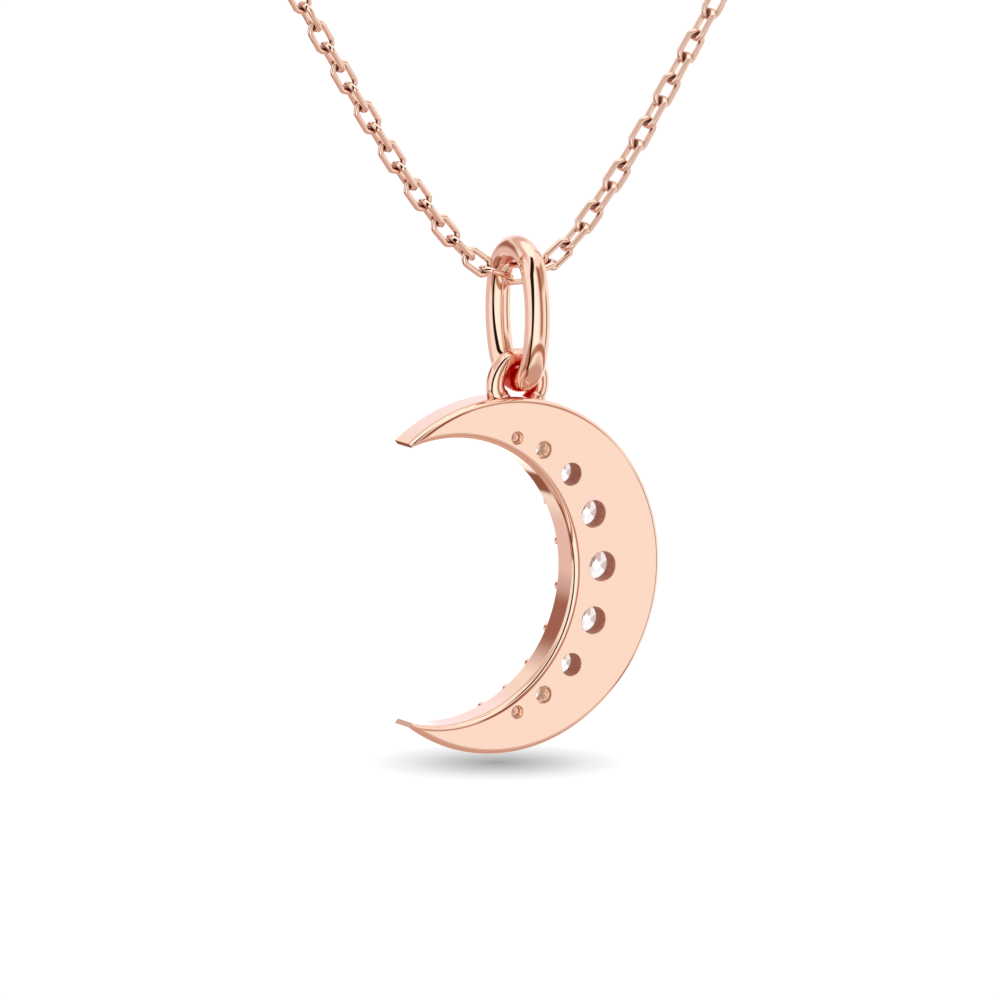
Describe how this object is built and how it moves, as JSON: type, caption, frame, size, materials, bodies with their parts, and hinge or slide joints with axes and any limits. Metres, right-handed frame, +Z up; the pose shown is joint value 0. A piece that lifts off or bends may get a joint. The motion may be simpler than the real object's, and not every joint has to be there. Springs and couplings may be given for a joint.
{
  "type": "pendant necklace",
  "caption": "Crescent moon pendant with a row of graduated round stones, hung by an oval bail from a fine cable chain with a lobster clasp.",
  "frame": {"origin": "nape of the neck, at the middle of the clasp, where the worn chain is held", "axes": "+Z up, -Y the way the wearer and the stone-set front of the pendant face, +X toward the wearer's left, the side the crescent opens to"},
  "size_m": [0.1158, 0.1051, 0.1451],
  "materials": {
    "rose_gold": "mirror-polished 14 carat rose gold",
    "diamond": "faceted clear stone"
  },
  "bodies": {
    "chain": {"chain_left": "rose_gold", "chain_right": "rose_gold", "clasp_body": "rose_gold", "clasp_pin": "rose_gold", "clasp_spring": "rose_gold", "clasp_jump_ring": "rose_gold", "end_ring": "rose_gold", "link_left_end": "rose_gold", "link_right_end": "rose_gold", "link_centre": "rose_gold", "link_left_1": "rose_gold", "link_left_2": "rose_gold", "link_left_3": "rose_gold", "link_left_4": "rose_gold", "link_left_5": "rose_gold", "link_left_6": "rose_gold", "link_left_7": "rose_gold", "link_left_8": "rose_gold", "link_left_9": "rose_gold", "link_left_10": "rose_gold", "link_left_11": "rose_gold", "link_left_12": "rose_gold", "link_left_13": "rose_gold", "link_right_1": "rose_gold", "link_right_2": "rose_gold", "link_right_3": "rose_gold", "link_right_4": "rose_gold", "link_right_5": "rose_gold", "link_right_6": "rose_gold", "link_right_7": "rose_gold", "link_right_8": "rose_gold", "link_right_9": "rose_gold", "link_right_10": "rose_gold", "link_right_11": "rose_gold", "link_right_12": "rose_gold", "link_right_13": "rose_gold"},
    "lever": {"clasp_lever": "rose_gold"},
    "bail": {"bail_ring": "rose_gold"},
    "pendant": {"crescent": "rose_gold", "crescent_loop": "rose_gold", "diamond_1": "diamond", "diamond_2": "diamond", "diamond_3": "diamond", "diamond_4": "diamond", "diamond_5": "diamond", "diamond_6": "diamond", "diamond_7": "diamond", "diamond_8": "diamond", "diamond_9": "diamond"}
  },
  "joints": [
    {"name": "bail_swing", "type": "hinge", "parent": "chain", "child": "bail", "pos_m": [0, -0.101, -0.12122], "axis": [1, 0, 0], "range_deg": [-40, 40]},
    {"name": "pendant_swing", "type": "hinge", "parent": "bail", "child": "pendant", "pos_m": [0, -0.101, -0.12595], "axis": [0, 1, 0], "range_deg": [-45, 45]},
    {"name": "clasp_lever", "type": "hinge", "parent": "chain", "child": "lever", "pos_m": [0.00108, 0, 0.00095], "axis": [0, -1, 0], "range_deg": [0, 25], "stiffness_Nm_per_rad": 0.001, "springref_deg": -11.46}
  ]
}
